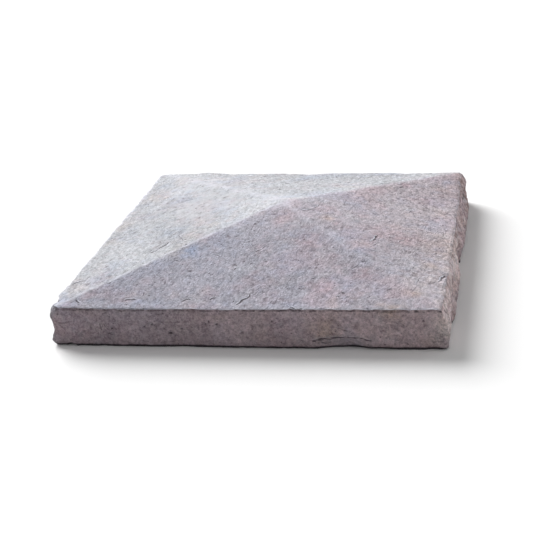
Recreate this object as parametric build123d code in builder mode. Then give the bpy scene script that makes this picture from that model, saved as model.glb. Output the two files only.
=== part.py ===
from build123d import *
from math import atan2, cos, degrees, radians, sin, sqrt, tan
import os

# Peaked capstone for a square masonry pier: one block of cast stone.
#
# The bed is flat. Four shallow slopes rise from the rim to a worn apex, and meet in soft hips.
# The rim is pitched, as a mason does it with a chisel: each side is a row of slightly turned
# facets that stand furthest out at a low belly, with broad dished spalls struck out of them.
#
# The origin is the middle of the bed, +Z is up, and the front side faces -Y.

# Driving dimensions, in millimetres and degrees
plan = 610.0  # overall, from side to side
rim_height = 61.5  # from the bed to the arris, the edge between a side and its slope
peak_rise = 55.0  # from the arris to the point where the four slopes would meet
apex_at = (9.0, 2.0)  # the hand-cut slopes meet a little off the middle
apex_wear = 3.5  # height lost from that point
hip_radius = 40.0  # softness of the hips and of the worn apex
rough_margin = 15.0  # how much the block stands out all round before its sides are pitched
reach = plan / 2  # from the middle to the furthest point of each side
quarter_turn = 90  # from one side to the next

# The four sides, anticlockwise from the front as seen from above. Along a side, a station is
# measured from its middle, to the right of someone who stands outside and looks at it.
FRONT, RIGHT, BACK, LEFT = range(4)
belly_height = (9.0, 22.0, 18.0, 16.0)  # where each side stands furthest out
arris_inset = (7.0, 13.0, 10.0, 4.0)  # how far each arris stands in from its belly
bed_inset = (2.5, 5.0, 4.0, 4.0)  # how far each bed edge stands in from its belly
skew = (0.6, 0.0, -0.9, 0.0)  # how far each side is out of square
slope_turn = (0.0, 0.0, -2.0, 0.0)  # how far each slope faces off its side, which tilts its arris
end_fall = 1.3  # how far each side turns away towards its ends
end_length = (95.0, 120.0, 110.0, 90.0)  # the length that turns away, at each end of a side
corner_cut = (3.0, 9.0, 5.0, 3.0)  # width lost at the corner to the right of each side

# Spalls: side, station, height, radius of the dish, depth, and how far the blow came from below
spalls = (
    (FRONT, -214.0, 20.0, 300.0, 1.8, 0.0),
    (FRONT, -95.0, 38.0, 420.0, 1.5, 0.0),
    (FRONT, 150.0, 1.0, 118.0, 7.0, 30.0),
    (FRONT, 268.0, 30.0, 260.0, 1.6, 0.0),
    (FRONT, -271.0, 0.0, 9.0, 5.0, 60.0),
    (RIGHT, -246.0, 34.0, 170.0, 3.2, 8.0),
    (RIGHT, -188.0, 50.0, 210.0, 3.0, -14.0),
    (RIGHT, -140.0, 2.0, 150.0, 4.0, 26.0),
    (RIGHT, -22.0, 26.0, 90.0, 11.5, 6.0),
    (RIGHT, 92.0, 54.0, 130.0, 2.8, -10.0),
    (RIGHT, 180.0, 4.0, 140.0, 4.0, 24.0),
    (RIGHT, 276.0, 32.0, 200.0, 5.0, 10.0),
    (BACK, -232.0, 26.0, 210.0, 4.0, 10.0),
    (BACK, -118.0, 12.0, 120.0, 5.5, 20.0),
    (BACK, -16.0, 48.0, 260.0, 3.0, -10.0),
    (BACK, 64.0, 26.0, 180.0, 3.6, 6.0),
    (BACK, 136.0, 4.0, 130.0, 6.0, 28.0),
    (BACK, 236.0, 40.0, 190.0, 3.4, 0.0),
    (LEFT, -226.0, 16.0, 150.0, 5.0, 16.0),
    (LEFT, -130.0, 44.0, 280.0, 3.0, -6.0),
    (LEFT, -36.0, 24.0, 220.0, 3.4, 8.0),
    (LEFT, 46.0, 6.0, 110.0, 6.0, 26.0),
    (LEFT, 138.0, 40.0, 230.0, 3.2, 0.0),
    (LEFT, 232.0, 14.0, 170.0, 4.2, 16.0),
    (LEFT, 294.0, 29.0, 42.0, 5.5, 0.0),
)

# Chips off the corner to the right of a side: the side, the length lost along it, the length
# lost along the next side, and the height lost, down from the arris or, below zero, up the bed
chips = (
    (FRONT, 20.0, 15.0, -8.0),
    (RIGHT, 9.0, 13.0, 8.0),
    (LEFT, 16.0, 14.0, 10.0),
)


def face_plane(side):
    """The upright plane through the middle, facing out of a side: x along it, y up, z outwards."""
    along = Vector(1, 0, 0).rotate(Axis.Z, quarter_turn * side)
    outwards = Vector(0, -1, 0).rotate(Axis.Z, quarter_turn * side)
    return Plane(origin=(0, 0, 0), x_dir=along, z_dir=outwards)


def cutting_plane(side, point, turn, lean):
    """A plane through a point of a side, turned along the side and leaning back as it rises."""
    face = face_plane(side)
    level = cos(radians(lean))
    normal = (
        face.x_dir * (sin(radians(turn)) * level)
        + face.y_dir * sin(radians(lean))
        + face.z_dir * (cos(radians(turn)) * level)
    )
    return Plane(origin=face.from_local_coords(point), z_dir=normal)


def slope_plane(side):
    """The plane of the slope that rises from a side's arris to the apex."""
    apex = face_plane(side).to_local_coords(Vector(*apex_at, rim_height + peak_rise))
    run = reach - arris_inset[side] - apex.Z
    pitch = degrees(atan2(peak_rise, run))
    return cutting_plane(side, apex, turn=slope_turn[side], lean=quarter_turn - pitch)


def belly_reach(side, station):
    """How far out a side's belly stands at a station, before any spall."""
    straight = reach - end_length[side]
    turned_away = max(0.0, abs(station) - straight) * tan(radians(end_fall))
    most = reach - straight * tan(radians(abs(skew[side])))
    return most - station * tan(radians(skew[side])) - turned_away


def surface_reach(side, station, height):
    """How far out a side stands at a station and a height, before any spall."""
    above = height - belly_height[side]
    if above > 0:
        inset = arris_inset[side] * above / (rim_height - belly_height[side])
    else:
        inset = bed_inset[side] * -above / belly_height[side]
    return belly_reach(side, station) - inset


def pitch_planes(side):
    """The planes of a side's facets: a middle and two ends, each above and below the belly."""
    above = degrees(atan2(arris_inset[side], rim_height - belly_height[side]))
    below = degrees(atan2(bed_inset[side], belly_height[side]))
    straight = reach - end_length[side]
    for station, fall in ((0.0, 0.0), (straight, end_fall), (-straight, -end_fall)):
        point = (station, belly_height[side], belly_reach(side, station))
        for lean in (above, -below):
            yield cutting_plane(side, point, turn=skew[side] + fall, lean=lean)


def corner_plane(side):
    """The plane that cuts the corner to the right of a side, and leans back as the sides do."""
    following = (side + 1) % 4
    corner_inset = (arris_inset[side] + arris_inset[following]) / sqrt(2)
    lean = degrees(atan2(corner_inset, rim_height - belly_height[side]))
    station = reach - arris_inset[following] - corner_cut[side]
    point = (station, rim_height, reach - arris_inset[side])
    return cutting_plane(side, point, turn=quarter_turn / 2, lean=lean)


def chip_plane(side, along, across, height):
    """The plane of a chip off the corner to the right of a side."""
    following = (side + 1) % 4
    inset, level = (arris_inset, rim_height) if height > 0 else (bed_inset, 0.0)
    face = face_plane(side)
    point = (reach - inset[following] - along, level, reach - inset[side])
    normal = face.x_dir / along + face.y_dir / height + face.z_dir / across
    return Plane(origin=face.from_local_coords(point), z_dir=normal)


with BuildPart() as capstone:
    # The four slopes, worn off flat at the apex, on a block that is still square
    rough_plan = plan + 2 * rough_margin
    worn_height = rim_height + peak_rise - apex_wear
    Box(rough_plan, rough_plan, worn_height, align=(Align.CENTER, Align.CENTER, Align.MIN))
    for side in (FRONT, RIGHT, BACK, LEFT):
        split(bisect_by=slope_plane(side), keep=Keep.BOTTOM)

    # The hips and the four edges of the worn apex, softened together
    sloping = capstone.edges().filter_by(Axis.Z, reverse=True)
    hips = sloping.filter_by(lambda edge: edge.bounding_box().size.Z > peak_rise / 2)
    crown = capstone.faces().sort_by(Axis.Z)[-1]
    fillet([*hips, *crown.edges()], radius=hip_radius)

    # The pitched sides, their corners and the chips off them
    for side in (FRONT, RIGHT, BACK, LEFT):
        for plane in (*pitch_planes(side), corner_plane(side)):
            split(bisect_by=plane, keep=Keep.BOTTOM)
    for side, along, across, height in chips:
        split(bisect_by=chip_plane(side, along, across, height), keep=Keep.BOTTOM)

    # The spalls, each the bite of a large ball that comes in along the blow
    for side, station, height, radius, depth, from_below in spalls:
        stand_off = radius - depth
        down = stand_off * sin(radians(from_below))
        out = surface_reach(side, station, height) + stand_off * cos(radians(from_below))
        with Locations(face_plane(side).from_local_coords((station, height - down, out))):
            Sphere(radius, mode=Mode.SUBTRACT)

capstone.part.label = "capstone"
os.makedirs("parts", exist_ok=True)
export_step(capstone.part, "parts/capstone.step")

box = capstone.part.bounding_box()
print("size", box.size, "from", box.min, "to", box.max)
print("volume, litres", round(capstone.part.volume / 1e6, 2))
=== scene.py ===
# Peaked capstone: one block of cast stone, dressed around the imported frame.
from itertools import product
from math import pi, radians

import bmesh
import bpy
import numpy as np
from mathutils import Matrix, Vector
from mathutils.bvhtree import BVHTree


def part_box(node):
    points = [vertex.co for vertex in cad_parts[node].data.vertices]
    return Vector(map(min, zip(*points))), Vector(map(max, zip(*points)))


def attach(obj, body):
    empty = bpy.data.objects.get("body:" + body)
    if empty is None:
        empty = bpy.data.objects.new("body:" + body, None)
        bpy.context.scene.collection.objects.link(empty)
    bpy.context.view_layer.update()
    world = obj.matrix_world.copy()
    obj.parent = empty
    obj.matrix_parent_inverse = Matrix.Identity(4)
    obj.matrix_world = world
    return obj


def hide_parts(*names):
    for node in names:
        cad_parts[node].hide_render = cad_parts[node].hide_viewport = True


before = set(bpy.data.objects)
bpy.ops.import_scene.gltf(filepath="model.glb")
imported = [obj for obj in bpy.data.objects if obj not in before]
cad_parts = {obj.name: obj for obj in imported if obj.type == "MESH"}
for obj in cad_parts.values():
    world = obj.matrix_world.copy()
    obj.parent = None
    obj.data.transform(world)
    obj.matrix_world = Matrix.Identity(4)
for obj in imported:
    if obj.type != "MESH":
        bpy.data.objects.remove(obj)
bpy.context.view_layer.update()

# The block is dressed in millimetres, in its own frame: the bed at z = 0, the front facing -Y.
# The finished mesh is in metres.
MM = 0.001
block_low, block_high = (np.array(corner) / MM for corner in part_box("capstone"))
PLAN_LOW, PLAN_HIGH = block_low[:2], block_high[:2]
REACH = block_high[0]  # from the middle to the furthest point of each side
PEAK = block_high[2]
RIM_HEIGHT = 61.5  # from the bed to the arris
CORE = REACH - 43.0  # half the width of the square that the rim's rays look out from
FRONT, RIGHT, BACK, LEFT = range(4)
ALONG = np.array([(1, 0), (0, 1), (-1, 0), (0, -1)], float)
OUTWARDS = np.array([(0, -1), (1, 0), (0, 1), (-1, 0)], float)

# Spacing of the mesh: gaps next to an edge, then the common step
STATION_GAPS, STATION_STEP = (0.8, 1.2, 1.8, 2.2), 2.5
COURSE_GAPS, COURSE_STEP = (0.7, 1.1, 1.6, 2.0), 2.4
BED_STRIDE = 13  # the bed's cells are this many stations wide

CREST = (9.0, 2.0)  # where the hips meet, in plan

GRAIN_DRAWN = 1.45  # the float drew the grain out this much, front to back

# How rough each side was left by the chisel, from 0 to 1
ROUGHNESS = (0.3, 1.0, 0.9, 0.8)

# Scores in the slopes, in plan: stops x, y, then half width and depth
SLOPE_SCORES = (
    ((-8, -149), (-2, -142), (5, -134), 1.0, 0.8),
    ((-9, -284), (-5, -279), (-3, -273), (4, -268), (6, -261), 1.2, 1.4),
    ((-165, -101), (-168, -112), (-175, -122), (-181, -134), (-190, -135), 1.35, 1.3),
    ((-156, -74), (-146, -90), (-139, -104), 0.8, 0.5),
    ((45, -25), (49, -22), 1.5, 1.2),
    ((53, -18), (57, -14), 1.6, 1.3),
    ((60, -10), (66, 2), (67, 11), 0.9, 0.9),
    ((169, -98), (172, -89), (174, -76), 1.4, 1.6),
    ((-244, -18), (-233, -14), 0.8, 0.5),
    ((-292, -32), (-281, -20), 0.8, 0.6),
    ((-52, -272), (-47, -268), (-42, -269), 1.3, 1.1),
    ((-95, -277), (-90, -273), (-84, -273), 1.3, 1.1),
    ((-109, -284), (-100, -281), 0.8, 0.6),
    ((-100, -270), (-88, -264), 0.7, 0.6),
    ((-184, -276), (-176, -273), (-169, -275), 1.3, 1.1),
    ((186, -268), (199, -264), 0.9, 0.6),
    ((212, 40), (217, 49), 1.1, 0.8),
    ((151, -193), (157, -186), 0.9, 0.6),
    ((170, -118), (175, -110), (179, -102), 0.8, 0.7),
    ((171, -130), (181, -135), 0.8, 0.6),
    ((209, -84), (217, -72), 0.9, 0.8),
    ((249, -224), (251, -206), (254, -194), 0.8, 0.6),
    ((281, -200), (284, -188), (287, -179), 1.4, 1.6),
    ((255, -172), (268, -171), 0.8, 0.7),
    ((264, -112), (270, -101), 1.0, 0.8),
    ((141, -270), (156, -265), 0.8, 0.5),
    ((-294, -214), (-285, -208), (-274, -209), 1.3, 1.1),
    ((-263, -279), (-258, -283), 1.4, 1.3),
    ((-31, -121), (-24, -119), 1.6, 0.7),
    ((74, -290), (82, -294), (91, -293), 1.0, 1.0),
    ((24, 120), (36, 128), 0.8, 0.5),
    ((-120, 60), (-104, 66), 0.8, 0.4),
    ((110, 236), (124, 241), 0.9, 0.7),
)
# Single pits on the slopes: x, y, radius, depth
SLOPE_PITS = (
    (-190, -127, 2.6, 0.9),
    (-67, -157, 3.2, 1.1),
    (14, -173, 3.0, 1.0),
    (16, -162, 2.6, 0.8),
    (95, -217, 3.0, 1.1),
    (69, -55, 2.8, 0.9),
    (-253, -164, 2.6, 0.8),
    (-239, -138, 2.8, 0.9),
    (-225, -232, 3.2, 1.1),
    (-179, -236, 2.8, 1.0),
    (-174, -187, 2.8, 0.9),
    (-103, -200, 3.2, 1.1),
    (-131, -171, 3.0, 0.9),
    (-21, 179, 4.0, 1.2),
    (-83, 211, 3.2, 0.9),
    (5, 207, 3.0, 0.8),
    (58, 243, 3.6, 1.2),
    (66, 252, 3.6, 1.2),
    (15, 97, 3.2, 0.9),
    (157, 164, 3.0, 1.0),
    (165, 170, 3.0, 1.0),
    (187, 170, 3.0, 1.1),
    (189, 154, 3.0, 1.0),
    (-5, -89, 2.6, 0.8),
    (145, -254, 3.0, 1.1),
    (139, -263, 3.0, 1.0),
    (213, -244, 2.8, 0.9),
)
SMALL_PITS = 300  # strewn over all four slopes
# Broken patches of the slopes, where the skin has come away in small chips: x, y, radius
BROKEN_PATCHES = (
    (258, -196, 26),
    (284, -215, 14),
    (176, -172, 9),
    (102, -79, 7),
    (-286, -228, 12),
    (-30, -285, 15),
    (30, -270, 14),
)
# How pale each hip is rubbed: towards x, towards y, at the crest, at the corner, and half width
RUBBED_HIPS = (
    (-1, -1, 1.3, 1.2, 2.6),
    (1, -1, 0.7, -0.35, 5.0),
    (1, 1, 0.4, 0.4, 4.0),
    (-1, 1, 0.8, 0.6, 8.0),
)
# Swells of the slopes, and dips where the height is below zero: x, y, radius, height
SWELLS = (
    (-203, 292, 20, 2.6),
    (0, 292, 26, -1.8),
    (184, 290, 16, -2.2),
    (238, 288, 20, -0.8),
    (-176, 296, 14, 1.0),
)

# Scores in a side: side, stops of station and height, then half width and depth
SIDE_SCORES = (
    (FRONT, (-291, 37), (-275, 38), (-260, 40), 1.3, 0.6),
    (FRONT, (-223, 37), (-221, 28), (-214, 22), (-204, 20), 0.9, 0.8),
    (FRONT, (-216, 36), (-213, 31), (-208, 28), 0.8, 0.6),
    (FRONT, (-233, 37), (-230, 26), (-222, 17), (-209, 13), 0.9, 0.5),
    (FRONT, (-252, 24), (-240, 26), (-226, 31), 2.2, 0.5),
    (FRONT, (-116, 39), (-98, 40), (-83, 42), 1.2, 0.4),
    (FRONT, (133, 35), (142, 33), (154, 30), 1.0, 0.5),
    (FRONT, (216, 47), (226, 42), (236, 35), 1.3, 0.35),
    (FRONT, (276, 11), (289, 13), (299, 14), 1.4, 0.5),
    (FRONT, (103, 13), (114, 15.4), (123, 15.9), (133, 17.7), (144, 18.1), (152, 19.1), 1.25, 1.25),
    (FRONT, (152, 19.1), (163, 18.2), (173, 17.7), (181, 15.9), (190, 15.0), 1.1, 1.0),
    (FRONT, (109, 11.5), (116, 10), (121, 8), (129, 10), 1.1, 1.1),
    (RIGHT, (-128, 45), (-141, 43), (-156, 38), 1.2, 0.8),
    (RIGHT, (60, 55), (38, 52), (14, 47), 1.3, 0.9),
    (RIGHT, (226, 48), (204, 45), (182, 45), 1.3, 0.9),
    (BACK, (-90, 40), (-60, 36), (-34, 38), 1.4, 1.0),
    (BACK, (120, 20), (150, 26), (172, 24), 1.4, 1.0),
    (LEFT, (-110, 34), (-84, 30), (-60, 33), 1.4, 1.0),
    (LEFT, (90, 18), (118, 24), (140, 22), 1.4, 1.0),
    (LEFT, (302, 8), (303, 28), (301, 42), (296, 54), 1.6, 1.4),
)
# Single pits on a side: side, station, height, radius, depth
SIDE_PITS = (
    (FRONT, -203, 30, 2.8, 1.5),
    (FRONT, -152, 33, 2.2, 1.2),
    (FRONT, -140, 36, 2.0, 1.1),
    (FRONT, -52, 41, 2.3, 1.3),
    (FRONT, -40, 39, 2.1, 1.2),
    (FRONT, -57, 38, 1.7, 0.9),
    (FRONT, -112, 21, 2.9, 1.5),
    (FRONT, -94, 29, 2.0, 1.0),
    (FRONT, -1, 25, 2.5, 1.3),
    (FRONT, -127, 52, 1.8, 0.8),
    (FRONT, 45, 43, 2.0, 1.1),
    (FRONT, 58, 36, 2.4, 1.2),
    (FRONT, 25, 35, 2.0, 1.0),
    (FRONT, 133, 35, 2.4, 1.3),
    (FRONT, 226, 33, 2.3, 1.0),
    (FRONT, 265, 45, 2.3, 1.0),
)
# Broad hollows in a side, and swells where the depth is below zero: side, station, height, half
# length, half height, depth
HOLLOWS = (
    (FRONT, -160, 24, 70, 9, 0.9),
    (FRONT, 70, 30, 60, 14, 0.8),
    (FRONT, 222, 24, 40, 10, 0.9),
    (RIGHT, 60, 50, 34, 9, 3.0),
    (RIGHT, 10, 44, 26, 9, 2.6),
    (RIGHT, -14, 24, 34, 20, 2.4),
    (RIGHT, 196, 44, 40, 9, 2.2),
    (RIGHT, -152, 38, 26, 8, 2.0),
    (RIGHT, 50, 8, 30, 12, 1.6),
    (RIGHT, 146, 14, 36, 14, -1.5),
    (RIGHT, -190, 8, 30, 12, -1.8),
    (RIGHT, -242, 12, 28, 10, -3.2),
    (RIGHT, -278, 31, 13, 10, -3.2),
    (RIGHT, -296, 14, 8, 9, 2.0),
    (LEFT, 298, 4, 10, 8, -2.0),
    (FRONT, -266, 0, 7, 5, -3.0),
    (FRONT, 138, 0, 16, 5, -2.4),
    (FRONT, 199, 0, 19, 5, 4.0),
    (FRONT, 286, 0, 14, 5, 2.2),
)
# Holes where a pebble came away: side, station, height, radius, depth
POCKETS = (
    (RIGHT, -211, 37, 4.6, 4.0),
    (RIGHT, -239, 42, 3.4, 3.2),
    (RIGHT, -181, 30, 3.4, 2.8),
    (RIGHT, 33, 51, 4.0, 3.0),
    (RIGHT, 66, 38, 4.0, 2.6),
    (RIGHT, 158, 44, 4.4, 3.0),
    (RIGHT, 212, 44, 4.0, 3.0),
    (BACK, -176, 34, 4.2, 3.0),
    (BACK, 84, 22, 4.6, 3.4),
    (BACK, 204, 44, 3.6, 2.6),
    (LEFT, -150, 26, 4.4, 3.2),
    (LEFT, 12, 42, 3.8, 2.8),
    (LEFT, 188, 30, 4.2, 3.0),
)
# Nicks out of the arris: side, station, half length, depth
NICKS = (
    (FRONT, -262, 5, 1.8),
    (FRONT, -196, 4, 1.4),
    (FRONT, 73, 4, 2.2),
    (FRONT, 84, 5, 2.6),
    (FRONT, 129, 6, 1.8),
    (FRONT, 198, 5, 1.6),
    (FRONT, 208, 4, 1.4),
    (RIGHT, -212, 6, 1.4),
    (RIGHT, -120, 8, 1.2),
    (RIGHT, 64, 6, 1.2),
    (RIGHT, 232, 7, 1.8),
    (BACK, -214, 7, 2.4),
    (BACK, -96, 10, 2.0),
    (BACK, 38, 6, 2.2),
    (BACK, 150, 9, 2.6),
    (LEFT, -190, 8, 2.2),
    (LEFT, -40, 9, 2.0),
    (LEFT, 96, 7, 2.0),
    (LEFT, 214, 7, 2.6),
    (LEFT, 262, 5, 2.4),
)
# How dark the painted shade line under each side's arris is, from 0 to 1
SHADE_UNDER_ARRIS = (1.0, 0.7, 0.2, 0.2)
# How far each side's arris is rolled over, and how wide the roll is
ROLLED, ROLL_WIDTH = (0.0, 1.3, 0.6, 0.0), 7.0
# Where an arris bows out or in: side, station, half length, how far out
BOWS = (
    (RIGHT, 20, 150, 2.0),
    (RIGHT, -190, 70, 1.6),
    (LEFT, 294, 8, 2.6),
    (LEFT, 278, 6, -6.0),
    (LEFT, 247, 15, 3.4),
    (LEFT, 219, 9, 2.0),
    (LEFT, -214, 16, -2.2),
)

# Stains in the mix, each a list of places: x, y, z, radius, strength
SLATE_STAINS = (
    # The fainter slate stains just in front of the front-left hip paint a shade along it; the rest are
    # stains
    (-116, -146, 89, 17, 1.3),
    (-163, -187, 82, 26, 0.35),
    (-80, -120, 92, 30, 0.4),
    (-222, -236, 74, 30, 0.4),
    (148, -142, 89, 18, 0.5),
    (118, -115, 95, 14, 0.4),
    (224, -189, 75, 20, 0.4),
    (45, -184, 82, 26, 0.4),
    (-216, 126, 76, 38, 0.4),
    (-169, -53, 85, 36, 0.4),
    (-288, -268, 64, 22, 0.7),
    (256, 218, 68, 20, 0.4),
    (150, -301, 8, 26, 0.4),
    (300, -302, 6, 14, 0.4),
)
MAUVE_STAINS = (
    (20, -61, 105, 18, 0.8),
    (68, -110, 96, 19, 1.0),
    (-1, -134, 92, 11, 0.6),
    (105, -235, 73, 22, 0.7),
    (172, -203, 79, 19, 0.9),
    (120, -238, 73, 18, 0.9),
    (139, -192, 81, 15, 0.6),
    (110, -56, 96, 18, 0.8),
    (155, -51, 88, 15, 0.7),
    (175, -70, 84, 14, 0.6),
    (209, -64, 78, 26, 0.9),
    (195, 170, 80, 14, 1.0),
    (236, 120, 74, 30, 0.4),
    (-249, -265, 68, 11, 1.0),
    (-245, -212, 71, 20, 0.5),
    (-56, -298, 47, 20, 0.5),
    (-283, -300, 39, 26, 0.9),
    (-252, -302, 24, 24, 0.9),
    (299, -146, 51, 15, 1.0),
    (299, -113, 51, 14, 1.0),
    (299, -23, 49, 15, 1.0),
    (299, 240, 40, 30, 0.8),
    (60, -302, 22, 34, 0.5),
)
OCHRE_STAINS = (
    (91, -38, 101, 13, 0.7),
    (-266, 155, 68, 34, 0.5),
    (-228, 229, 74, 24, 0.4),
    (-125, 215, 77, 50, 0.15),
    (122, -302, 29, 19, 1.1),
    (220, -296, 60, 15, 1.2),
    (204, -282, 64, 8, 0.6),
    (249, -248, 70, 15, 0.8),
    (262, -190, 72, 40, 0.5),
    (268, -150, 72, 18, 0.7),
    (262, 60, 72, 22, 0.4),
    (302, -70, 40, 70, 0.6),
)
CREAM_STAINS = (
    (298, -232, 50, 20, 1.2),
    (298, -272, 44, 24, 1.3),
    (303, -185, 22, 13, 0.8),
    (303, -295, 26, 12, 1.0),
    (296, -43, 60, 10, 1.0),
    (302, -80, 34, 14, 0.7),
    (304, 4, 50, 18, 1.3),
    (304, -34, 50, 20, 1.5),
    (304, -70, 50, 20, 1.4),
    (304, -122, 50, 22, 1.1),
    (304, -156, 50, 18, 1.7),
    (304, -190, 50, 16, 1.1),
    (297, -220, 55, 18, 0.6),
    (300, -286, 28, 22, 1.6),
    (301, -240, 26, 20, 1.2),
    (294, 94, 61, 9, 0.9),
    (268, -198, 67, 14, 0.5),
    (286, -212, 64, 12, 0.6),
    (250, -214, 68, 22, 0.4),
)
UMBER_STAINS = (
    # Those on the right side's back half are partly painted shade, in its hollows under the arris and
    # along its outer edge
    (302, 206, 35, 28, 2.2),
    (302, 176, 30, 18, 1.2),
    (298, 240, 44, 22, 2.0),
    (302, 66, 28, 30, 0.6),
    (303, 110, 22, 26, 0.9),
    (299, -51, 44, 15, 0.5),
    (299, -183, 40, 14, 0.9),
    (294, -240, 61, 6, 0.8),
    (293, -285, 61, 8, 0.9),
    (299, 176, 44, 16, 0.8),
    (299, 214, 44, 14, 0.8),
    (302, 200, 30, 70, 0.6),
    (298, 262, 46, 32, 1.0),
    (300, 10, 34, 20, 0.5),
    (122, -302, 29, 12, 0.4),
    (220, -298, 58, 8, 0.5),
    (300, -206, 14, 10, 0.8),
)
# Where the weather has worn the grain of the slopes away
WORN_PLACES = (
    (-140, 62, 92, 72, 1.9),
    (-196, 190, 80, 66, 1.5),
    (-20, 40, 106, 40, 0.9),
)
STAINS = (SLATE_STAINS, MAUVE_STAINS, OCHRE_STAINS, CREAM_STAINS, UMBER_STAINS, WORN_PLACES)

# What the finish reads at each point of the mesh. "across" is the distance from a score in half
# widths, and a point that has none near has this value:
UNSCORED = 9.0
WEAR_MARKS = ("rough", "hollow", "bare_or_highlight", "across", "scored")
STAIN_MARKS = ("slate", "mauve", "ochre", "cream", "umber", "worn")
MARKS = ("pitched", *WEAR_MARKS, *STAIN_MARKS)

# The tints of the mix, of its stains, and of what shows where it is broken, soiled or rubbed. The mix's
# tints also paint light and shade: paler where the key light falls, lilac and heather in its shade. The
# grime tint also paints shade, the bone tint painted highlights, and the foot's tint the shade where the
# cap meets the floor.
PALE_LIT, LILAC_SHADED, HEATHER_SHADED = (0.455, 0.463, 0.490, 1), (0.385, 0.377, 0.438, 1), (0.461, 0.416, 0.453, 1)
SHADED, FRONT_FACE, FLANK = (0.43, 0.43, 0.46, 1), (0.412, 0.330, 0.372, 1), (0.57, 0.434, 0.456, 1)
MAUVE, OCHRE, SLATE = (0.50, 0.34, 0.38, 1), (0.59, 0.43, 0.33, 1), (0.29, 0.36, 0.52, 1)
CREAM, UMBER, FOOT_SHADE = (0.78, 0.68, 0.66, 1), (0.33, 0.235, 0.215, 1), (0.04, 0.032, 0.04, 1)
BLOOM, GRIME_AND_SHADE, BONE_AND_HIGHLIGHT = (0.58, 0.59, 0.615, 1), (0.13, 0.105, 0.12, 1), (0.69, 0.69, 0.77, 1)
STAIN_TINTS = ((SLATE, 0.6), (MAUVE, 0.5), (OCHRE, 0.5), (CREAM, 0.7), (UMBER, 0.8))


def dice(cells, seed):
    """A repeatable number from 0 to 1 for each row of whole numbers."""
    mixed = cells[..., 0] * 73856093 ^ cells[..., 1] * 19349663 ^ cells[..., 2] * 83492791
    mixed = (mixed ^ (seed * 668265263)) & 0x7FFFFFFF
    mixed = (mixed ^ (mixed >> 13)) * 1274126177 & 0x7FFFFFFF
    mixed = (mixed ^ (mixed >> 15)) * 40503 & 0x7FFFFFFF
    return ((mixed >> 7) & 0xFFFF) / 0xFFFF


def lumps(points, size, seed):
    """Smooth noise from about -1 to 1, whose lumps are one size across."""
    scaled = points / size + 37.0 * seed
    cell = np.floor(scaled).astype(np.int64)
    part = scaled - cell
    ease = part**3 * (part * (part * 6 - 15) + 10)
    total = np.zeros(len(points))
    for corner in product((0, 1), repeat=3):
        corner = np.array(corner)
        share = np.prod(np.where(corner, ease, 1 - ease), axis=1)
        reach = part - corner
        for axis in range(3):
            pull = 2 * dice(cell + corner, 3 * seed + axis) - 1
            total += share * pull * reach[:, axis]
    return 1.5 * total


def struck(points, size, seed):
    """Depths from 0 to 1 of dishes struck one size apart, which meet in sharp ridges."""
    scaled = points / size
    cell = np.floor(scaled).astype(np.int64)
    nearest = np.full(len(points), 9.0)
    for step in product((-1, 0, 1), repeat=3):
        there = cell + np.array(step)
        centre = there + np.stack([dice(there, seed + axis) for axis in range(3)], axis=1)
        away = ((scaled - centre) ** 2).sum(axis=1)
        nearest = np.minimum(nearest, away + 0.35 * dice(there, seed + 3))
    return np.clip(1 - nearest, 0, 1)


def wander(points, size, reach, seed):
    """Points moved about a little, so that what is cut along a straight line comes out crooked."""
    return points + reach * np.stack([lumps(points, size, seed + axis) for axis in range(3)], axis=1)


def bell(distance, width):
    """1 at no distance, and almost 0 at twice the width."""
    return np.exp(-((distance / width) ** 2))


def beside(a, b, stops):
    """How far points (a, b) of a plane are from a line of stops, below zero on its left.

    Also how far each is past the line's ends.
    """
    away, signed, past = np.full(len(a), 1e3), np.full(len(a), 1e3), np.zeros(len(a))
    last = len(stops) - 2
    for i, ((a1, b1), (a2, b2)) in enumerate(zip(stops, stops[1:])):
        length = np.hypot(a2 - a1, b2 - b1)
        run_a, run_b = (a2 - a1) / length, (b2 - b1) / length
        along = (a - a1) * run_a + (b - b1) * run_b
        held = np.clip(along, 0, length)
        here = np.hypot(a - a1 - held * run_a, b - b1 - held * run_b)
        side = np.where((a - a1) * run_b > (b - b1) * run_a, 1, -1)
        over = np.maximum(-along if i == 0 else 0, along - length if i == last else 0)
        closer = here < away
        away, signed = np.where(closer, here, away), np.where(closer, side * here, signed)
        past = np.where(closer, np.maximum(over, 0), past)
    return signed, past


def scores_at(a, b, scores):
    """For points (a, b): the nearest score's distance in half widths, signed, and its depth there.

    The depth is 0 further off, past the score's ends, and where another score is as near.
    """
    nearest, second = np.full(len(a), 20.0), np.full(len(a), 20.0)
    across, depth_there = np.full(len(a), UNSCORED), np.zeros(len(a))
    for *stops, width, depth in scores:
        signed, past = beside(a, b, stops)
        away = np.abs(signed)
        closer = away < nearest
        second = np.where(closer, nearest, np.minimum(second, away))
        nearest = np.where(closer, away, nearest)
        across = np.where(closer, signed / width, across)
        depth_there = np.where(closer, depth * np.clip(1.2 - past / 1.5, 0, 1), depth_there)
    reach, fade = 6.0, 2.5
    near = np.clip((reach - nearest) / fade, 0, 1) * np.clip((second - nearest) / fade, 0, 1)
    return across, depth_there * near


def dashes(pits):
    """Round pits as short scores, so that they come out crisp."""
    return [
        ((a - 0.3 * radius, b - 0.1 * radius), (a + 0.3 * radius, b + 0.1 * radius), 0.5 * radius, depth)
        for a, b, radius, depth in pits
    ]


def spread(length, gaps, step):
    """Stops from 0 to a length: small gaps at both ends, and even steps between them."""
    middle = length - 2 * sum(gaps)
    count = round(middle / step)
    steps = [*gaps, *[middle / count] * count, *reversed(gaps)]
    return np.concatenate([[0.0], np.cumsum(steps)])


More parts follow.
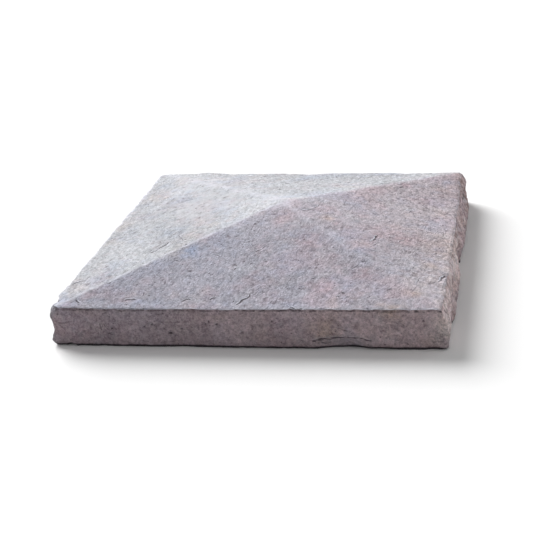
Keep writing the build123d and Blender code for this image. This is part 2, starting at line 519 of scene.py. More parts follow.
class Blank:
    """The CAD block as a mason's blank: where its surface lies along a ray."""

    clear_of_it = 200.0  # a ray starts this far out

    def __init__(self, node):
        self.tree = BVHTree.FromObject(node, bpy.context.evaluated_depsgraph_get())

    def cast(self, start, direction):
        """How far off the surface is. A ray that slips between two faces is moved a hair."""
        for slip in (0.0, 0.011, -0.017, 0.029):
            moved = (start + Vector((slip, slip, slip))) * MM
            spot, normal, _, distance = self.tree.ray_cast(moved, direction)
            if spot and normal.dot(direction) < 0:
                return distance / MM
        return None

    def reach(self, foot, direction, height):
        """How far the surface is from a foot point, level along a direction, at a height."""
        start = Vector((*foot, height)) + Vector((*direction, 0)) * self.clear_of_it
        distance = self.cast(start, Vector((*-direction, 0)))
        return -REACH if distance is None else self.clear_of_it - distance

    def height(self, x, y):
        """How high the surface is above a point of the plan."""
        return self.clear_of_it - self.cast(Vector((x, y, self.clear_of_it)), Vector((0, 0, -1)))

    def arris(self, foot, direction):
        """The height at which a side gives way to its slope: it starts to retreat fast there."""
        low, high, step = 0.35 * PEAK, 0.68 * PEAK, 0.4
        for _ in range(12):
            middle = (low + high) / 2
            here = self.reach(foot, direction, middle)
            if here < 0 or here - self.reach(foot, direction, middle + step) > 2 * step:
                high = middle
            else:
                low = middle
        return low


class Rim:
    """The columns of the mesh round the rim: each has a side, a station and a level ray."""

    def __init__(self, blank):
        stations = spread(2 * REACH, STATION_GAPS, STATION_STEP) - REACH
        self.count = len(stations) - 1
        self.share = (stations + REACH) / (2 * REACH)
        self.side = np.repeat(np.arange(4), self.count)
        self.station = np.tile(stations[:-1], 4)
        along, outwards = ALONG[self.side], OUTWARDS[self.side]
        held = np.clip(self.station, -CORE, CORE)
        self.foot = along * held[:, None] + outwards * CORE
        outer = along * self.station[:, None] + outwards * REACH
        ray = outer - self.foot
        self.ray = ray / np.linalg.norm(ray, axis=1)[:, None]
        self.girth = self.side * 2 * REACH + self.station + REACH
        self.arris = np.array([blank.arris(f, r) for f, r in zip(self.foot, self.ray)])

    def signed_off(self, side, station):
        """How far each column is past a station, the short way round the rim."""
        there = side * 2 * REACH + station + REACH
        return (self.girth - there + 4 * REACH) % (8 * REACH) - 4 * REACH

    def roughness(self):
        """How rough each column is, which changes gradually round a corner."""
        rough = np.array(ROUGHNESS)[self.side]
        softened = rough.copy()
        for shift in range(-12, 13):
            softened += np.roll(rough, shift)
        return softened / 26


class Flanks:
    """The points of the four sides: a course of the rim's columns for each row of heights."""

    def __init__(self, rim, heights, points):
        self.rim, self.courses, self.points = rim, len(heights), points
        self.height = heights.ravel()
        self.below_arris = (heights[:1] - heights).ravel()
        self.gravel = lumps(points, 7.5, 13)
        # Marks made by hand are drawn a little crooked
        drawn = wander(points, 11, 1.6, 63)
        self.drawn_height = drawn[:, 2]
        moved = drawn[:, :2] - points[:, :2]
        self.sideways = (moved * np.tile(ALONG[rim.side], (self.courses, 1))).sum(axis=1)

    def each(self, by_column):
        """What holds for a column, for each of its points."""
        return np.tile(by_column, self.courses)

    def by_side(self, values):
        """What holds for a side, for each of its points."""
        return self.each(np.array(values)[self.rim.side])

    def past(self, side, station):
        """How far along the rim each point is past a station."""
        return self.each(self.rim.signed_off(side, station))

    def drawn_past(self, side, station):
        """The same for a mark made by hand."""
        return self.past(side, station) + self.sideways


class Wear:
    """What points have lost, in millimetres, and the marks that the stone's finish reads there."""

    def __init__(self, rough):
        self.rough = rough
        self.lost, self.hollow, self.bare_or_highlight = (np.zeros(len(rough)) for _ in range(3))
        self.across, self.scored = np.full(len(rough), UNSCORED), np.zeros(len(rough))

    def soil_or_shade(self, share):
        """Dirt gathers, as in a hollow, and shade is painted into hollows, pits, creases and under
        overhangs. Where there is more of it already, that stays.
        """
        self.hollow = np.maximum(self.hollow, share)

    def clean(self, share):
        """Bare cement shows, or a painted highlight is laid on a ridge or an edge. Where more of it shows
        already, that stays.
        """
        self.bare_or_highlight = np.maximum(self.bare_or_highlight, share)

    def cut_scores(self):
        """A shallow groove lies under each score, which the finish makes crisp, with painted shade in it
        and a painted highlight on one lip.
        """
        self.lost += 0.7 * self.scored * bell(self.across, 2.2)

    def marks(self):
        """The marks of wear, in the order of WEAR_MARKS."""
        return self.rough, self.hollow, self.bare_or_highlight, self.across, self.scored


def dress_with_chisel(wear, flanks):
    """Broad waves, dishes struck by the chisel, and chips where the stone broke short."""
    points, rough, gravel = flanks.points, wear.rough, flanks.gravel
    at_arris = bell(flanks.below_arris, 15)
    waves = lumps(points, 74, 11) + 0.5 * lumps(points, 30, 12)
    bent = wander(points, 26, 5, 61)
    dishes = np.clip(struck(bent * (1, 1, 1.2), 38, 21) - 0.34, 0, 1) / 0.5
    chips = np.clip(struck(bent, 13, 31) - 0.3, 0, 1) / 0.55
    flaked = np.clip(struck(bent, 7.5, 32) - 0.3, 0, 1) / 0.55
    wear.lost += (0.1 + 0.5 * rough) * waves
    wear.lost += rough * 2.5 * (dishes - 0.45) * (1 - 0.8 * at_arris)
    wear.lost += rough * (1.2 * (chips - 0.4) + 1.0 * (flaked - 0.4)) * (1 - 0.6 * at_arris)
    # The smoother sides were rubbed along their length before the stone set
    rubbed = lumps(points * (0.22, 0.22, 1), 9, 15)
    wear.lost += (1 - rough) * 0.2 * rubbed
    wear.lost += (0.2 + 0.2 * rough) * gravel + 0.16 * lumps(points, 5, 14)
    # The hollows of the gravel and of the chips are painted dark, as shade in them, and the ridges
    # between the chips pale, as highlights on them
    wear.soil_or_shade(np.clip(gravel - 0.25, 0, 1) * 0.7)
    wear.soil_or_shade(1.6 * rough * np.clip(0.6 * chips + flaked - 0.95, 0, 1))
    wear.clean(rough * np.clip(0.4 - 0.4 * chips - 0.6 * flaked, 0, 1) * 1.6)
    # Darker below the belly, but not at the right side's front end: partly dirt, partly painted shade
    # under the overhang
    clear = np.clip(np.abs(flanks.past(RIGHT, -REACH)) / 60 - 1.3, 0, 1)
    wear.soil_or_shade(clear * rough * np.clip((28 + 6 * gravel - flanks.height) / 6, 0, 1) * 0.75)


def hollow_sides(wear, flanks):
    """The broad hollows and swells of the sides, their pits, and the flake off the front's foot."""
    for side, station, level, length, tall, depth in HOLLOWS:
        sunk = depth * bell(flanks.past(side, station), length) * bell(flanks.height - level, tall)
        wear.lost += sunk
        wear.soil_or_shade(0.1 * wear.rough * sunk)
    for side, station, level, radius, depth in SIDE_PITS + POCKETS:
        away = np.hypot(flanks.drawn_past(side, station), flanks.drawn_height - level)
        pit = bell(away, radius) ** 0.8
        wear.lost += depth * pit
        wear.soil_or_shade(pit)
    scar, crease, fresh = ledge_scar(flanks.drawn_past(FRONT, 150), flanks.drawn_height)
    wear.lost += scar
    # The crease gets a painted shadow and the flake's face a painted light
    wear.soil_or_shade(0.3 * crease)
    wear.clean(0.3 * fresh * np.clip(1 + flanks.gravel, 0.4, 1.2))


def ledge_scar(off, height):
    """The flake struck off the foot of the front: millimetres lost, its crease painted dark as the shadow
    of the step above it, and its face painted pale as if lit from below.
    """
    half_length, crown, drop, deepest = 41.0, 18.5, 4.5, 3.4
    top = crown - drop * (off / half_length) ** 2
    inside = np.clip(1.35 - np.abs(off / half_length) ** 3, 0, 1)
    below = np.clip((top - height) / 2.2, 0, 1)
    fade = np.clip(height / crown, 0, 1)
    crease = bell(height - top, 1.5) * inside
    return deepest * inside * below * fade, crease, inside * below


def score_sides(wear, flanks):
    """The scores in the sides, each drawn in its own side's stations."""
    for side in (FRONT, RIGHT, BACK, LEFT):
        away = flanks.drawn_past(side, 0.0)
        on_side = np.abs(away) < REACH
        scores = [score[1:] for score in SIDE_SCORES if score[0] == side]
        scores += dashes([pit[1:] for pit in SIDE_PITS + POCKETS if pit[0] == side])
        found = scores_at(away[on_side], flanks.drawn_height[on_side], scores)
        wear.across[on_side], wear.scored[on_side] = found
    wear.cut_scores()


def wear_arris(wear, flanks):
    """The arris bows a little, is worn round, is nicked where it was knocked, and underlined with a dark
    line of painted shade.
    """
    points, below_arris = flanks.points, flanks.below_arris
    for side, station, length, out in BOWS:
        wear.lost -= out * bell(flanks.past(side, station), length) * bell(below_arris, 18)
    ragged = np.clip(lumps(points, 17, 16) + 0.6 * lumps(points, 7, 17), 0, 1)
    wear.lost += (0.2 + 1.7 * ragged) * bell(below_arris, 1.8 + 2.0 * ragged)
    wear.lost += flanks.by_side(ROLLED) * bell(below_arris, ROLL_WIDTH)
    for side, station, length, depth in NICKS:
        away = np.abs(flanks.past(side, station)) + flanks.sideways
        wear.lost += depth * bell(away, length) * bell(below_arris, 1.6 * depth)
    # The painted shade line under it is faint along the front half of the right side
    line_height = 4.5
    faint = bell(flanks.past(RIGHT, -130), 120)
    crumbly = np.clip(0.75 + 0.9 * lumps(points, 9, 20), 0.1, 1.2) * (1 - 0.85 * faint)
    crumbly = crumbly * flanks.by_side(SHADE_UNDER_ARRIS)
    under = below_arris < line_height
    across = (below_arris - 1.9 - 0.5 * lumps(points, 12, 64)) / 1.15
    wear.across = np.where(under, across, wear.across)
    wear.scored = np.where(under, crumbly * np.clip((line_height - below_arris) / 1.5, 0, 1), wear.scored)


def wear_ends(wear, flanks):
    """The painted dark outline at the left end of the front, and the broken edge of the bed, painted dark
    as the shade where it meets the floor.
    """
    points, height = flanks.points, flanks.height
    outline = bell(flanks.past(FRONT, -REACH) + 1.0, 2.6)
    wear.soil_or_shade(1.3 * outline * np.clip(0.8 + flanks.gravel, 0.2, 1))
    crumbled = 0.4 + np.clip(lumps(points, 24, 18) + 0.6 * lumps(points, 9, 19), 0, 1) * 2.4
    wear.lost += crumbled * bell(height, 1.0 + crumbled)
    # The edge of the bed is painted dark, as the shade where it meets the floor
    wear.soil_or_shade(bell(height, 1.6 + 0.8 * crumbled) * 1.1)


def side_wear(rim, heights, points):
    """The wear of the sides."""
    flanks = Flanks(rim, heights, points)
    wear = Wear(flanks.each(rim.roughness()))
    dress_with_chisel(wear, flanks)
    hollow_sides(wear, flanks)
    score_sides(wear, flanks)
    wear_arris(wear, flanks)
    wear_ends(wear, flanks)
    return wear


def float_slopes(wear, points, lit):
    """The waves of the floated slopes and their grain, which is weaker where the light rakes them."""
    drawn = points / (1, GRAIN_DRAWN, 1)
    worn = np.zeros(len(points))
    for x, y, _, radius, strength in WORN_PLACES:
        away = np.hypot(points[:, 0] - x, points[:, 1] - y)
        worn = np.maximum(worn, np.clip(strength * bell(away, radius), 0, 1))
    waves = 0.5 * lumps(points, 110, 41) + 0.35 * lumps(points, 46, 42)
    floated = (0.16 - 0.04 * lit) * lumps(points, 16, 43)
    patchy = np.clip(lumps(points, 40, 45) + 0.6, 0.2, 1) * (1 - 0.6 * lit) * (1 - 0.8 * worn)
    grain = lumps(drawn, 8.5, 44)
    crumbs = lumps(drawn, 5.4, 47)
    wear.lost += 0.45 + waves + floated + (0.11 * grain + 0.14 * crumbs) * patchy
    # The grain's hollows are painted dark as shade, and its crests pale as highlights
    wear.soil_or_shade(np.clip(grain + 0.6 * crumbs - 0.55, 0, 1) * patchy)
    wear.clean(np.clip(-grain - 0.6 * crumbs - 0.5, 0, 1) * patchy)


def pit_slopes(wear, points, x, y):
    """The pits, the scores and the broken patches of the slopes, at their crooked places x and y."""
    draw = np.random.default_rng(7)
    for _ in range(SMALL_PITS):
        px, py = draw.uniform(-REACH, REACH, 2)
        radius, depth = draw.uniform(1.6, 3.0), draw.uniform(0.3, 1.1)
        pit = bell(np.hypot(x - px, y - py), radius)
        wear.lost += depth * pit
        wear.soil_or_shade(pit * depth)
    for px, py, radius, depth in SLOPE_PITS:
        pit = bell(np.hypot(x - px, y - py), radius)
        wear.lost += depth * pit
        wear.soil_or_shade(0.8 * pit)
    wear.across, wear.scored = scores_at(x, y, [*SLOPE_SCORES, *dashes(SLOPE_PITS)])
    wear.cut_scores()
    flaked = struck(points, 8, 51)
    for px, py, radius in BROKEN_PATCHES:
        near = bell(np.hypot(x - px, y - py), radius)
        wear.lost += near * (0.2 + 2.2 * flaked)
        # The deep flakes are painted dark as shade, and the ridges between them pale as highlights
        wear.soil_or_shade(near * np.clip(flaked - 0.5, 0, 1) * 2.2)
        wear.clean(near * np.clip(0.45 - flaked, 0, 1) * 2.4)


def rub_hips(wear, points, x, y):
    """The hips are rubbed pale along their crest."""
    rubbed = np.clip(lumps(points, 22, 48) + 0.75, 0.15, 1)
    for towards_x, towards_y, at_crest, at_corner, width in RUBBED_HIPS:
        corner = (towards_x * (REACH - 12), towards_y * (REACH - 12))
        signed, _ = beside(x, y, (CREST, corner))
        share = np.clip(np.hypot(x - CREST[0], y - CREST[1]) / np.hypot(*corner), 0, 1)
        pale = at_crest + (at_corner - at_crest) * share
        wear.clean(pale * rubbed * np.clip(1.6 * bell(signed - 0.5 * width, width), 0, 1))


def roll_slopes_over(wear, points, inset, rolled):
    """The slopes roll over just inside the arris, and are painted paler there where they roll less:
    rubbed cement with a painted edge highlight.
    """
    ragged = np.clip(lumps(points, 14, 46) + 0.6 * lumps(points, 6, 49) + 0.3, 0, 1)
    wear.lost += (0.2 + 1.2 * ragged) * bell(inset, 2.0 + 2.0 * ragged)
    wear.lost += rolled * bell(inset, ROLL_WIDTH)
    wear.clean((1 - 0.5 * rolled) * np.clip(1.6 - 1.6 * ragged, 0.2, 1.3) * bell(inset, 5.2))


def slope_wear(x, y, inset, rolled):
    """The wear of the slopes, from how far each point is inside the arris and how that is rolled."""
    points = np.stack([x, y, np.zeros(len(x))], axis=1)
    wear = Wear(np.zeros(len(x)))
    float_slopes(wear, points, lit=np.clip((y - x) / 160, 0, 1))
    # Marks made by hand are drawn a little crooked
    bent = wander(wander(points, 9, 1.8, 66), 5, 1.2, 68)
    x, y = bent[:, 0], bent[:, 1]
    pit_slopes(wear, points, x, y)
    rub_hips(wear, points, x, y)
    roll_slopes_over(wear, points, inset, rolled)
    for sx, sy, radius, rise in SWELLS:
        wear.lost -= rise * bell(np.hypot(x - sx, y - sy), radius)
    return wear


def stained(points, places, seed):
    """How stained each point is, from 0 to 1, by the stains at some places."""
    total = np.zeros(len(points))
    for x, y, z, radius, strength in places:
        away = np.linalg.norm(points - (x, y, z), axis=1)
        total = np.maximum(total, strength * bell(away, radius))
    uneven = lumps(points, 15, 71 + seed) + 0.6 * lumps(points, 6, 81 + seed)
    return np.clip(total * np.clip(0.7 + 0.9 * uneven, 0, 1), 0, 1)


def soften(grid, passes):
    """Evens out a grid of heights, apart from its edge."""
    for _ in range(passes):
        around = grid[:-2, 1:-1] + grid[2:, 1:-1] + grid[1:-1, :-2] + grid[1:-1, 2:]
        grid[1:-1, 1:-1] = 0.5 * grid[1:-1, 1:-1] + 0.125 * around
    return grid


def patch(rim, outline):
    """A square grid of places in plan, stretched between the four edges of an outline."""
    n = rim.count
    closed = np.concatenate([outline, outline[:1]])
    front, right = closed[: n + 1], closed[n : 2 * n + 1]
    back, left = closed[2 * n : 3 * n + 1][::-1], closed[3 * n :][::-1]
    u, v = rim.share[None, :, None], rim.share[:, None, None]
    across = (1 - v) * front[None] + v * back[None]
    deep = (1 - u) * left[:, None] + u * right[:, None]
    corners = (1 - v) * ((1 - u) * front[0] + u * front[-1]) + v * ((1 - u) * back[0] + u * back[-1])
    return across + deep - corners


def ring_of(n):
    """The grid's outer points in the order of the rim's columns, as row and column numbers."""
    steps = np.arange(n)
    rows = np.concatenate([0 * steps, steps, 0 * steps + n, n - steps])
    columns = np.concatenate([steps, 0 * steps + n, n - steps, 0 * steps])
    return rows, columns


def bed_cells(n, ring, first):
    """The places inside the bed's ring, numbered from the first on, and the bed's coarse cells.

    A cell beside the ring takes in all the ring's points along its edge.
    """
    stops = [*range(0, n - BED_STRIDE // 2, BED_STRIDE), n]
    inside = list(product(stops[1:-1], stops[1:-1]))
    number = dict(zip(zip(*ring_of(n)), ring))
    number.update({place: first + i for i, place in enumerate(inside)})

    def walk(r1, c1, r2, c2):
        """The points from one corner of a cell to the next, without the last."""
        on_ring = (r1 == r2 and r1 in (0, n)) or (c1 == c2 and c1 in (0, n))
        steps = max(abs(r2 - r1), abs(c2 - c1)) if on_ring else 1
        return [number[r1 + (r2 - r1) * i // steps, c1 + (c2 - c1) * i // steps] for i in range(steps)]

    cells = []
    spans = list(zip(stops, stops[1:]))
    for (r1, r2), (c1, c2) in product(spans, spans):
        there = walk(r1, c1, r2, c1) + walk(r2, c1, r2, c2)
        back = walk(r2, c2, r1, c2) + walk(r1, c2, r1, c1)
        cells.append(there + back)
    return inside, cells


def dressed_sides(blank, rim, heights):
    """The sides' plan after wear, their wear, and the footprint of the slopes before it."""
    out = np.array([
        [blank.reach(foot, ray, max(height, 0.2)) for foot, ray, height in zip(rim.foot, rim.ray, course)]
        for course in heights
    ])
    plan = rim.foot + rim.ray * out[..., None]
    points = np.concatenate([plan, heights[..., None]], axis=2).reshape(-1, 3)
    wear = side_wear(rim, heights, points)
    # A swell keeps inside the block's own box
    room = np.minimum(plan - PLAN_LOW, PLAN_HIGH - plan).min(axis=-1).ravel()
    lost = np.maximum(wear.lost, 0.05 - 0.7 * room).reshape(heights.shape)
    return plan - rim.ray * lost[..., None], wear, patch(rim, plan[0] - 0.6 * rim.ray)


def dressed_slopes(blank, rim, grid, footprint):
    """The slopes' points and wear. A point is as high as the block at its place in the footprint."""
    x, y = grid[..., 0].ravel(), grid[..., 1].ravel()
    base = np.array([blank.height(*place) for place in footprint.reshape(-1, 2)])
    base = soften(base.reshape(grid.shape[:2]), passes=6)
    edge = np.minimum(rim.share, 1 - rim.share) * 2 * REACH
    inset = np.minimum(edge[:, None], edge[None, :]).ravel()
    nearest = np.where(x > 0, RIGHT, LEFT)
    nearest = np.where(np.abs(y) > np.abs(x), np.where(y < 0, FRONT, BACK), nearest)
    wear = slope_wear(x, y, inset, np.array(ROLLED)[nearest])
    return np.stack([x, y, np.minimum(base.ravel() - wear.lost, PEAK - 0.2)], axis=1), wear


def closed_mesh(points, faces):
    """A smooth mesh in metres, all of whose faces look outwards."""
    mesh = bpy.data.meshes.new("cast_stone_cap")
    mesh.from_pydata((points * MM).tolist(), [], [[int(k) for k in face] for face in faces])
    shape = bmesh.new()
    shape.from_mesh(mesh)
    bmesh.ops.recalc_face_normals(shape, faces=shape.faces)
    shape.to_mesh(mesh)
    shape.free()
    mesh.shade_smooth()
    return mesh


def carve(node):
    """The dressed block as a mesh object, with what its stone needs to know at each point."""
    blank = Blank(node)
    rim = Rim(blank)
    n = rim.count
    across = n + 1
    courses = spread(1.0, [gap / RIM_HEIGHT for gap in COURSE_GAPS], COURSE_STEP / RIM_HEIGHT)[:, None]
    heights = rim.arris * (1 - courses)
    plan, wear_of_sides, footprint = dressed_sides(blank, rim, heights)
    top, wear_of_slopes = dressed_slopes(blank, rim, patch(rim, plan[0]), footprint)

    # The sides' courses follow the arris, which is where the slopes leave it
    ring_rows, ring_columns = ring_of(n)
    arris = ring_rows * across + ring_columns
    drop = (top[arris, 2] - rim.arris) * (1 - courses) ** 2
    heights = np.maximum(heights + drop, 0)
    heights[-1] = 0
    lower = np.concatenate([plan[1:], heights[1:, :, None]], axis=2).reshape(-1, 3)

    # One list of points: the slopes, then the sides' lower courses, then the inside of the bed
    numbers = np.concatenate([arris, len(top) + np.arange(len(lower))]).reshape(len(courses), 4 * n)
    inside, cells = bed_cells(n, numbers[-1], len(top) + len(lower))
    bed = patch(rim, plan[-1])
    under = np.array([(*bed[place], 0.0) for place in inside])
    points = np.concatenate([top, lower, under])
    faces = []
    for row, column in product(range(n), range(n)):
        k = row * across + column
        faces.append((k, k + 1, k + across + 1, k + across))
    for upper, below in zip(numbers, numbers[1:]):
        faces.extend(zip(upper, below, np.roll(below, -1), np.roll(upper, -1)))
    mesh = closed_mesh(points, faces + cells)

    # What the stone's finish reads at each point
    pitched = np.zeros(len(points))
    pitched[len(top) :] = 1.0
    pitched[arris] = 0.5
    unseen = np.zeros(len(under))
    marks = [
        np.concatenate([of_slopes, of_sides[4 * n :], unseen])
        for of_slopes, of_sides in zip(wear_of_slopes.marks(), wear_of_sides.marks())
    ]
    stains = [stained(points, places, seed) for seed, places in enumerate(STAINS)]
    for name, values in zip(MARKS, (pitched, *marks, *stains)):
        attribute = mesh.attributes.new(name, "FLOAT", "POINT")
        attribute.data.foreach_set("value", values.astype(np.float32))

    cap = bpy.data.objects.new("capstone_dressed", mesh)
    bpy.context.scene.collection.objects.link(cap)
    return cap


class Wire:
    """A value in a node tree. Sums written with it become Math nodes."""

    def __init__(self, nodes, socket):
        self.nodes, self.socket = nodes, socket

    def sum(self, operation, first, second):
        return self.nodes.node("ShaderNodeMath", {"operation": operation}, {0: first, 1: second})

    def __add__(self, other):
        return self.sum("ADD", self, other)

    def __sub__(self, other):
        return self.sum("SUBTRACT", self, other)

    def __rsub__(self, other):
        return self.sum("SUBTRACT", other, self)

    def __mul__(self, other):
        return self.sum("MULTIPLY", self, other)

    __radd__, __rmul__ = __add__, __mul__

    def __abs__(self):
        return self.sum("ABSOLUTE", self, 0.0)

    def most(self, other):
        return self.sum("MAXIMUM", self, other)

    def beside(self, output):
        """Another output of the node that this value comes from."""
        return Wire(self.nodes, self.socket.node.outputs[output])


class Nodes:
    """The node tree of a material or of the world, and the only place where its nodes are made."""

    def __init__(self, owner):
        self.owner = owner
        owner.use_nodes = True
        self.tree = owner.node_tree
        self.tree.nodes.clear()

    def node(self, kind, settings=(), inputs=(), output=0):
        """Adds a node: first its settings, then the values or wires of its sockets."""
        made = self.tree.nodes.new(kind)
        for name, value in dict(settings).items():
            setattr(made, name, value)
        for name, value in dict(inputs).items():
            if isinstance(value, Wire):
                self.tree.links.new(value.socket, made.inputs[name])
            else:
                made.inputs[name].default_value = value
        return Wire(self, made.outputs[output]) if made.outputs else made

    def attribute(self, name):
        return self.node("ShaderNodeAttribute", {"attribute_name": name}, output="Fac")

    def place(self, moved=0.0, drawn=1.0):
        """The place on the block, in metres, moved off it or drawn out front to back for a pattern."""
        here = self.node("ShaderNodeTexCoord", output="Object")
        values = {0: here, 1: (1, 1 / drawn, 1), 2: (moved, moved, moved)}
        return self.node("ShaderNodeVectorMath", {"operation": "MULTIPLY_ADD"}, values)

    def cloud(self, size, seed, detail=2.0, roughness=0.5, drawn=1.0):
        """Noise from 0 to 1 whose patches are about a size across, in millimetres."""
        here, scale = self.place(seed, drawn), 0.5 / (size * MM)
        values = {"Vector": here, "Scale": scale, "Detail": detail, "Roughness": roughness}
        return self.node("ShaderNodeTexNoise", inputs=values)

    def cells(self, apart, seed):
        """How far the nearest of many places set so far apart is, and the numbers drawn for it."""
        values = {"Vector": self.place(seed, GRAIN_DRAWN), "Scale": 1 / (apart * MM)}
        away = self.node("ShaderNodeTexVoronoi", inputs=values)
        return away, self.node("ShaderNodeSeparateColor", inputs={0: away.beside("Color")})

    def pores(self, apart, radius, share, seed):
        """1 in round holes of a radius, in millimetres, at a share of the places so far apart."""
        away, chance = self.cells(apart, seed)
        reach = radius / apart
        wide = chance.beside("Green") * reach * 0.6
        hole = self.between(away + wide, reach * 1.2, reach * 0.6)
        return hole * self.between(chance, share, share - 0.05)

    def grains(self, size, seed):
        """Grains about a size across, in millimetres: the tone of each, and how domed it is."""
        away, tone = self.cells(size, seed)
        return tone, self.between(away, 0.75, 0.05)

    def between(self, value, low, high):
        """0 where a value is low, 1 where it is high, and smooth between."""
        settings, values = {"interpolation_type": "SMOOTHSTEP"}, {"Value": value}
        return self.node("ShaderNodeMapRange", settings, {**values, "From Min": low, "From Max": high})

    def mix(self, share, first, second, how="MIX"):
        """A colour that goes from the first to the second as the share goes from 0 to 1."""
        settings = {"data_type": "RGBA", "blend_type": how}
        return self.node("ShaderNodeMix", settings, {0: share, 6: first, 7: second}, output=2)

    def grey(self, value):
        """A value as a colour."""
        return self.node("ShaderNodeCombineColor", inputs={0: value, 1: value, 2: value})

    def seen(self):
        """1 for what the camera sees, also by a reflection or through glass."""
        paths = ("Is Camera Ray", "Is Glossy Ray", "Is Transmission Ray")
        camera, glossy, through = (self.node("ShaderNodeLightPath", output=path) for path in paths)
        return camera.most(glossy).most(through)


def concrete_mix(stone, x, y, towards_front, pitched):
    """The mix drifts from pale, at the back and the left, to lilac and then to heather on the right. The
    drift is partly painted light: the slopes and sides that the key light faces are painted paler, and
    those in its shade darker and more lilac or warmer.
    """
    ground = stone.mix(stone.between(x + y, -0.25, 0.3), LILAC_SHADED, HEATHER_SHADED)
    slopes = stone.mix(towards_front, PALE_LIT, ground)
    sides = stone.mix(stone.between(x + y, -0.7, 0.0), FRONT_FACE, FLANK)
    return stone.mix(pitched * 0.85, slopes, stone.mix(towards_front, SHADED, sides))


def clouded(stone, colour, towards_front, pitched, rough, stains):
    """The mix clouded broadly and finely, stained, and earthy where it is broken."""

    def veil(under, tint, strength, size, seed, low, high, detail=3, roughness=0.6):
        """A cloud of a tint over a colour."""
        share = stone.between(stone.cloud(size, seed, detail, roughness), low, high)
        return stone.mix(share * strength, under, tint)

    open_sky = 1 - pitched * 0.55
    colour = veil(colour, MAUVE, 0.14 + towards_front * 0.12, 44, 1, 0.48, 0.68)
    colour = veil(colour, OCHRE, 0.18, 40, 2, 0.55, 0.75)
    colour = veil(colour, SLATE, open_sky * 0.22, 42, 3, 0.5, 0.7)
    colour = veil(colour, MAUVE, open_sky * 0.12, 9, 21, 0.5, 0.7, detail=2, roughness=0.5)
    colour = veil(colour, SLATE, open_sky * 0.12, 8, 22, 0.5, 0.7, detail=2, roughness=0.5)
    colour = veil(colour, BLOOM, open_sky * 0.34, 22, 4, 0.5, 0.8, detail=4)
    for stain, (tint, strength) in zip(stains, STAIN_TINTS):
        colour = stone.mix(stain * strength, colour, tint)
    # The broken sides show earth in their hollows and fresh cement on their knobs
    colour = veil(colour, UMBER, rough * 0.55, 13, 31, 0.5, 0.68, roughness=0.5)
    return veil(colour, CREAM, rough * 0.5, 9, 32, 0.52, 0.7, roughness=0.5)


def cast_stone():
    """The cap's concrete: pale lilac grey, clouded with mauve, buff and slate blue, and pitted."""
    stone = Nodes(bpy.data.materials.new("cast_stone"))
    marks = [stone.attribute(name) for name in MARKS]
    pitched, rough, hollow, bare_or_highlight, across, scored, *stains, worn = marks
    x = stone.node("ShaderNodeSeparateXYZ", inputs={0: stone.place()})
    y, z = x.beside("Y"), x.beside("Z")
    ragged = (stone.cloud(14, 8, 3) - 0.5) * 0.02
    towards_front = stone.between(x - y + ragged, -0.006, 0.012)
    colour = concrete_mix(stone, x, y, towards_front, pitched)
    colour = clouded(stone, colour, towards_front, pitched, rough, stains)

    # The grains of the mix, the holes of its air bubbles, and the scores
    sand, dome = stone.grains(3.0, 5)
    grit, speck = stone.grains(1.5, 6)
    crumb = stone.cloud(3.6, 7, 2, 0.6, GRAIN_DRAWN)
    near_corner = stone.between(y * 0.5 - x, -0.12, 0.02) * towards_front
    holes = stone.pores(8, 1.5, 0.36, 11).most(stone.pores(21, 2.4, 0.3, 12))
    holes = holes.most(stone.pores(6.5, 1.4, 0.45, 15) * near_corner)
    broken_up = stone.between(stone.cloud(4, 13, 1), 0.3, 0.55)
    # Each score is painted dark as the shade in its groove, and pale on one lip as a highlight
    groove = stone.between(abs(across), 1.4, 0.4) * scored * broken_up
    lip = (stone.between(across, -3.2, -1.8) - stone.between(across, -1.8, -1.1)) * scored

    # Light and dark: the grains stand out more at the back, and the top is paler; the back-left, which
    # the key light faces, is painted paler as if lit
    grain = (sand - 0.5) * 0.34 + (grit - 0.5) * 0.36 + (stone.between(crumb, 0.3, 0.7) - 0.5) * 0.28
    contrast = 1.0 + stone.between(x * 0.4 + y, -0.15, 0.3) * 0.35
    contrast = contrast - worn * 0.75 - pitched * 0.05 + rough * 0.3
    shade = 0.93 + grain * contrast + stone.between(stone.cloud(55, 9, 3, 0.6), 0.35, 0.65) * 0.14
    shade = shade + stone.between(z, 0.085, 0.112) * 0.12 + stone.between(y - x, 0.25, 0.6) * 0.14
    shade = shade + worn * 0.17 + (stone.cloud(15, 14, 3, 0.7) - 0.5) * rough * 0.9
    colour = stone.mix(1.0, colour, stone.grey(shade), "MULTIPLY")
    # The low places of the crumb's relief are painted dark, as shade in them
    colour = stone.mix(stone.between(crumb, 0.36, 0.22) * 0.6, colour, GRIME_AND_SHADE)
    # Dirt, and painted shade in hollows, pits, creases and scores
    dirt_and_shade = (hollow * 0.6).most(holes * 0.65).most(groove * (pitched * 0.25 + 0.6))
    colour = stone.mix(dirt_and_shade, colour, GRIME_AND_SHADE)
    # Bare cement, and painted highlights on ridges, along the arris, on the scores' lips and on the
    # flake's face
    colour = stone.mix(bare_or_highlight * 0.5 + lip * (0.8 - pitched * 0.6), colour, BONE_AND_HIGHLIGHT)
    # Its foot is painted black, as the shade where it meets the floor
    colour = stone.mix(stone.between(z + ragged * 0.25, 0.0052, 0.002), colour, FOOT_SHADE)

    coarse = 0.75 + stone.between(stone.cloud(36, 10, 2), 0.35, 0.65) * 0.5
    relief = (crumb * 1.0 + dome * 0.35 + speck * 0.3 + sand * 0.25) * (coarse - worn * 0.6)
    relief = relief - holes * 1.2 - groove * 1.6 + lip * 0.3
    bump = stone.node("ShaderNodeBump", inputs={"Strength": 1.0, "Distance": MM, "Height": relief})
    finish = {
        "Base Color": colour,
        "Roughness": 0.86 + hollow * 0.1 - bare_or_highlight * 0.08,
        "Normal": bump,
        "Specular IOR Level": 0.25,
    }
    shader = stone.node("ShaderNodeBsdfPrincipled", inputs=finish)
    stone.node("ShaderNodeOutputMaterial", inputs={"Surface": shader})
    return stone.owner


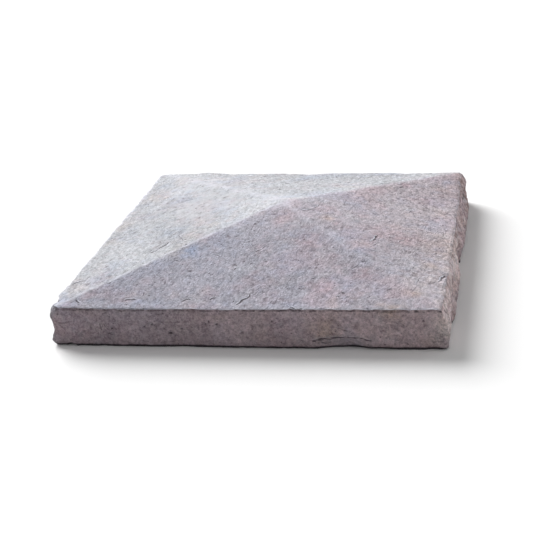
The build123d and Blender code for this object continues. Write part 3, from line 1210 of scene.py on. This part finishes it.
def floor_finish():
    """A pale floor that shows almost white to the camera, and gives back less light than that."""
    floor = Nodes(bpy.data.materials.new("pale_floor"))
    colour = floor.mix(floor.seen(), (0.6, 0.6, 0.6, 1), (1.0, 1.0, 1.0, 1))
    matt = floor.node("ShaderNodeBsdfDiffuse", inputs={"Color": colour})
    floor.node("ShaderNodeOutputMaterial", inputs={"Surface": matt})
    return floor.owner


def lay_floor():
    """A wide level floor just under the bed."""
    half, under = 30.0, -0.2 * MM
    mesh = bpy.data.meshes.new("floor")
    corners = [(-half, -half, under), (half, -half, under), (half, half, under), (-half, half, under)]
    mesh.from_pydata(corners, [], [(0, 1, 2, 3)])
    mesh.materials.append(floor_finish())
    floor = bpy.data.objects.new("floor", mesh)
    bpy.context.scene.collection.objects.link(floor)


def lamp(name, azimuth, elevation, level, softness):
    """A far, soft lamp. Its level is what it adds to white paper that faces it."""
    light = bpy.data.lights.new(name, "SUN")
    light.energy = level * pi
    light.angle = radians(softness)
    made = bpy.data.objects.new(name, light)
    made.rotation_euler = (radians(90 - elevation), 0, radians(azimuth))
    bpy.context.scene.collection.objects.link(made)


def light_studio():
    """A soft key from behind the left, a weak fill from the right, and an even room."""
    lamp("key", azimuth=-135, elevation=31, level=1.46, softness=40)
    lamp("fill", azimuth=100, elevation=22, level=0.28, softness=60)
    world = bpy.data.worlds.new("studio")
    room = Nodes(world)
    dim = room.node("ShaderNodeBackground", inputs={"Color": (1, 1, 1, 1), "Strength": 0.24})
    white = room.node("ShaderNodeBackground", inputs={"Color": (1, 1, 1, 1), "Strength": 1.0})
    either = room.node("ShaderNodeMixShader", inputs={0: room.seen(), 1: dim, 2: white})
    room.node("ShaderNodeOutputWorld", inputs={"Surface": either})
    bpy.context.scene.world = world


def place_camera():
    """The photograph's view, found from the cap's corners and its apex."""
    stand = Vector((405.5, -1735.5, 781.4)) * MM
    yaw, pitch, roll = 13.92, 66.118, -5.545
    data = bpy.data.cameras.new("view")
    data.sensor_width, data.lens = 36.0, 75.621
    camera = bpy.data.objects.new("view", data)
    turn = Matrix.Rotation(radians(yaw), 4, "Z") @ Matrix.Rotation(radians(pitch), 4, "X")
    turn = turn @ Matrix.Rotation(radians(roll), 4, "Z")
    camera.matrix_world = Matrix.Translation(stand) @ turn
    bpy.context.scene.collection.objects.link(camera)
    bpy.context.scene.camera = camera


bpy.context.scene.view_settings.view_transform = "Standard"
place_camera()
light_studio()
lay_floor()

cap = carve(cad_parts["capstone"])
cap.data.materials.append(cast_stone())
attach(cap, "root")
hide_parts("capstone")
